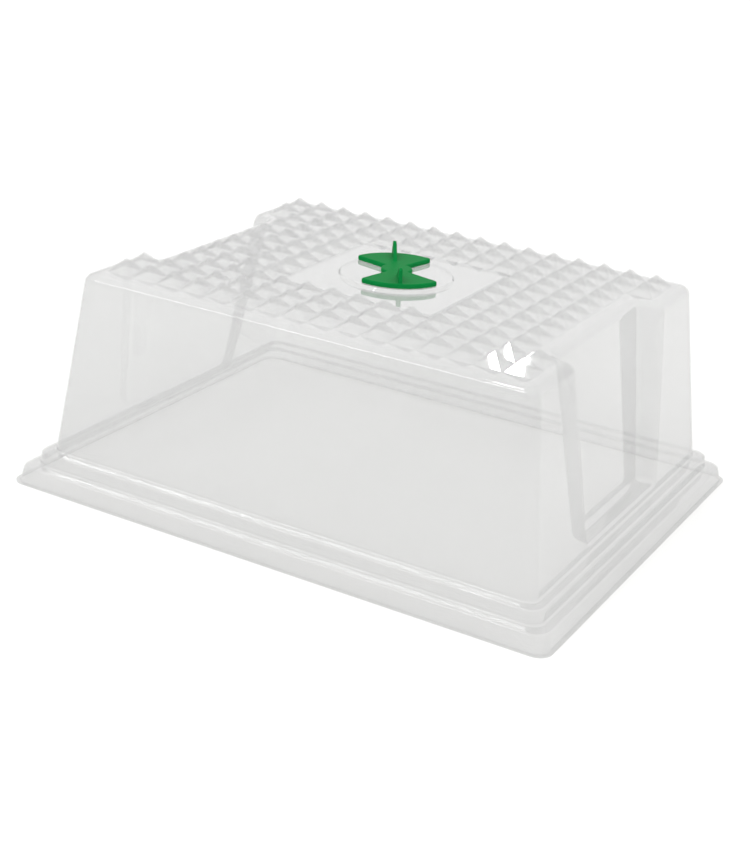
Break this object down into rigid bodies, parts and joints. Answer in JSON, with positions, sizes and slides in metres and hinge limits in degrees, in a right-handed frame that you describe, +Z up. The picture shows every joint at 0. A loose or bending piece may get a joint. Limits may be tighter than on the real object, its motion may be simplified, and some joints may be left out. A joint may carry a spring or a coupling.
{
  "type": "humidity dome",
  "caption": "Clear formed humidity dome for a seed tray, with a stepped rim, end grip notches, a pyramid-textured roof and a rotary vent dial.",
  "frame": {"origin": "middle of the rim's underside, on the surface the dome stands on", "axes": "+X along the long side, +Y along the short side, +Z up through the vent"},
  "size_m": [0.416, 0.332, 0.1719],
  "materials": {
    "clear_sheet": "clear formed PET, glossy",
    "green_dial": "moulded green polypropylene, satin gloss"
  },
  "bodies": {
    "dome": {"dome_shell": "clear_sheet"},
    "vent": {"vent_dial": "green_dial"}
  },
  "joints": [
    {"name": "vent_turn", "type": "hinge", "parent": "dome", "child": "vent", "pos_m": [0, 0, 0.1584], "axis": [0, 0, 1], "continuous": true}
  ]
}
